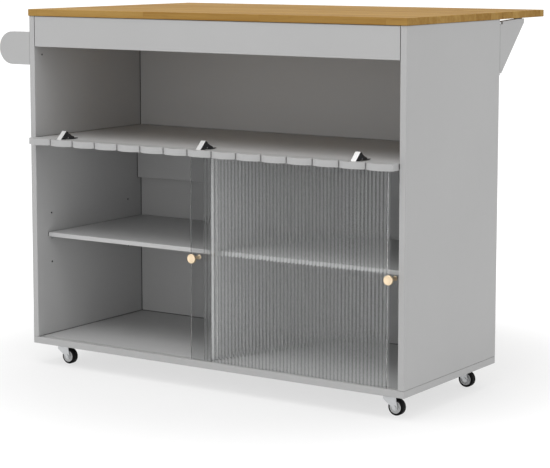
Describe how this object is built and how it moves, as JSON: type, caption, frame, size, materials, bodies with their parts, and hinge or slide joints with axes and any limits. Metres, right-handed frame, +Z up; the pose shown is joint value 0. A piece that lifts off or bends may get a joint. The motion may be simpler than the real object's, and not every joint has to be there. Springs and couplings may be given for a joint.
{
  "type": "drop leaf kitchen island",
  "caption": "Kitchen island on casters with a hinged rear leaf on swing brackets, an open upper shelf with a fluted fold-up lip, sliding ribbed-glass doors and a towel rack.",
  "frame": {"origin": "on the floor under the middle of the whole object's box, with the drop leaf raised", "axes": "+Z up, +X along the length to the right as seen from the front, +Y from the doors to the drop leaf"},
  "size_m": [1.203, 0.7259, 0.915],
  "materials": {
    "body_paint": "satin pale grey paint on board",
    "inner_paint": "satin pale grey paint on board",
    "oak": "oiled oak strips",
    "steel": "zinc plated",
    "lip_chrome": "nickel plated",
    "lip_dark": "dark plated",
    "glass": "ribbed clear glass",
    "brass": "satin brass",
    "track": "grey plastic",
    "pad": "soft black pad",
    "caster_steel": "zinc plated",
    "tyre": "matt black rubber",
    "hub": "grey plastic"
  },
  "bodies": {
    "cabinet": {"base_board": "body_paint", "left_side_panel": "body_paint", "right_side_panel": "body_paint", "front_fascia": "body_paint", "rack_front_plate": "body_paint", "rack_rear_plate": "body_paint", "back_panel": "inner_paint", "middle_shelf": "inner_paint", "centre_divider": "inner_paint", "rear_top_rail": "inner_paint", "back_rails": "inner_paint", "adjustable_shelf_left": "inner_paint", "adjustable_shelf_right": "inner_paint", "worktop": "oak", "shelf_pins": "steel", "leaf_hinge_plates": "steel", "leaf_hinge_pins": "steel", "left_bracket_pivot": "steel", "right_bracket_pivot": "steel", "hinge_screws": "steel", "towel_rail": "steel", "lip_hinge_pins": "steel", "lip_hinge_bases": "lip_dark", "upper_door_track": "track", "lower_door_track": "track", "caster_plates": "caster_steel", "caster_screws": "caster_steel"},
    "left_door": {"left_glass_door": "glass", "left_knob": "brass", "left_knob_screw": "steel"},
    "right_door": {"right_glass_door": "glass", "right_knob": "brass", "right_knob_screw": "steel"},
    "lip": {"fluted_lip": "body_paint", "lip_hinge_cups": "lip_chrome", "lip_hinge_arms": "lip_chrome"},
    "leaf": {"drop_leaf": "oak", "leaf_hinge_flaps": "steel", "leaf_screws": "steel"},
    "left_bracket": {"left_leaf_bracket": "body_paint", "left_bracket_pad": "pad"},
    "right_bracket": {"right_leaf_bracket": "body_paint", "right_bracket_pad": "pad"},
    "swivel_fl": {"fork_fl": "caster_steel", "axle_fl": "caster_steel"},
    "wheel_fl": {"tyre_fl": "tyre", "hub_fl": "hub"},
    "swivel_fr": {"fork_fr": "caster_steel", "axle_fr": "caster_steel"},
    "wheel_fr": {"tyre_fr": "tyre", "hub_fr": "hub"},
    "swivel_bl": {"fork_bl": "caster_steel", "axle_bl": "caster_steel"},
    "wheel_bl": {"tyre_bl": "tyre", "hub_bl": "hub"},
    "swivel_br": {"fork_br": "caster_steel", "axle_br": "caster_steel"},
    "wheel_br": {"tyre_br": "tyre", "hub_br": "hub"}
  },
  "joints": [
    {"name": "left_door_slide", "type": "slide", "parent": "cabinet", "child": "left_door", "axis": [1, 0, 0], "range_m": [-0.4842, 0]},
    {"name": "right_door_slide", "type": "slide", "parent": "cabinet", "child": "right_door", "axis": [1, 0, 0], "range_m": [-0.012, 0]},
    {"name": "lip_fold", "type": "hinge", "parent": "cabinet", "child": "lip", "pos_m": [0.0495, -0.325, 0.595], "axis": [-1, 0, 0], "range_deg": [0, 90]},
    {"name": "leaf_lift", "type": "hinge", "parent": "cabinet", "child": "leaf", "pos_m": [0.0495, 0.13775, 0.8915], "axis": [1, 0, 0], "range_deg": [0, 3]},
    {"name": "left_bracket_swing", "type": "hinge", "parent": "cabinet", "child": "left_bracket", "pos_m": [-0.4925, 0.135, 0.83], "axis": [0, 0, -1], "range_deg": [0, 90]},
    {"name": "right_bracket_swing", "type": "hinge", "parent": "cabinet", "child": "right_bracket", "pos_m": [0.5915, 0.135, 0.83], "axis": [0, 0, 1], "range_deg": [0, 90]},
    {"name": "caster_swivel_fl", "type": "hinge", "parent": "cabinet", "child": "swivel_fl", "pos_m": [-0.4385, -0.269, 0.046], "axis": [0, 0, 1], "continuous": true},
    {"name": "wheel_spin_fl", "type": "hinge", "parent": "swivel_fl", "child": "wheel_fl", "pos_m": [-0.4245, -0.269, 0.02], "axis": [0, 1, 0], "continuous": true},
    {"name": "caster_swivel_fr", "type": "hinge", "parent": "cabinet", "child": "swivel_fr", "pos_m": [0.5375, -0.269, 0.046], "axis": [0, 0, 1], "continuous": true},
    {"name": "wheel_spin_fr", "type": "hinge", "parent": "swivel_fr", "child": "wheel_fr", "pos_m": [0.5515, -0.269, 0.02], "axis": [0, 1, 0], "continuous": true},
    {"name": "caster_swivel_bl", "type": "hinge", "parent": "cabinet", "child": "swivel_bl", "pos_m": [-0.4385, 0.073, 0.046], "axis": [0, 0, 1], "continuous": true},
    {"name": "wheel_spin_bl", "type": "hinge", "parent": "swivel_bl", "child": "wheel_bl", "pos_m": [-0.4245, 0.073, 0.02], "axis": [0, 1, 0], "continuous": true},
    {"name": "caster_swivel_br", "type": "hinge", "parent": "cabinet", "child": "swivel_br", "pos_m": [0.5375, 0.073, 0.046], "axis": [0, 0, 1], "continuous": true},
    {"name": "wheel_spin_br", "type": "hinge", "parent": "swivel_br", "child": "wheel_br", "pos_m": [0.5515, 0.073, 0.02], "axis": [0, 1, 0], "continuous": true}
  ]
}
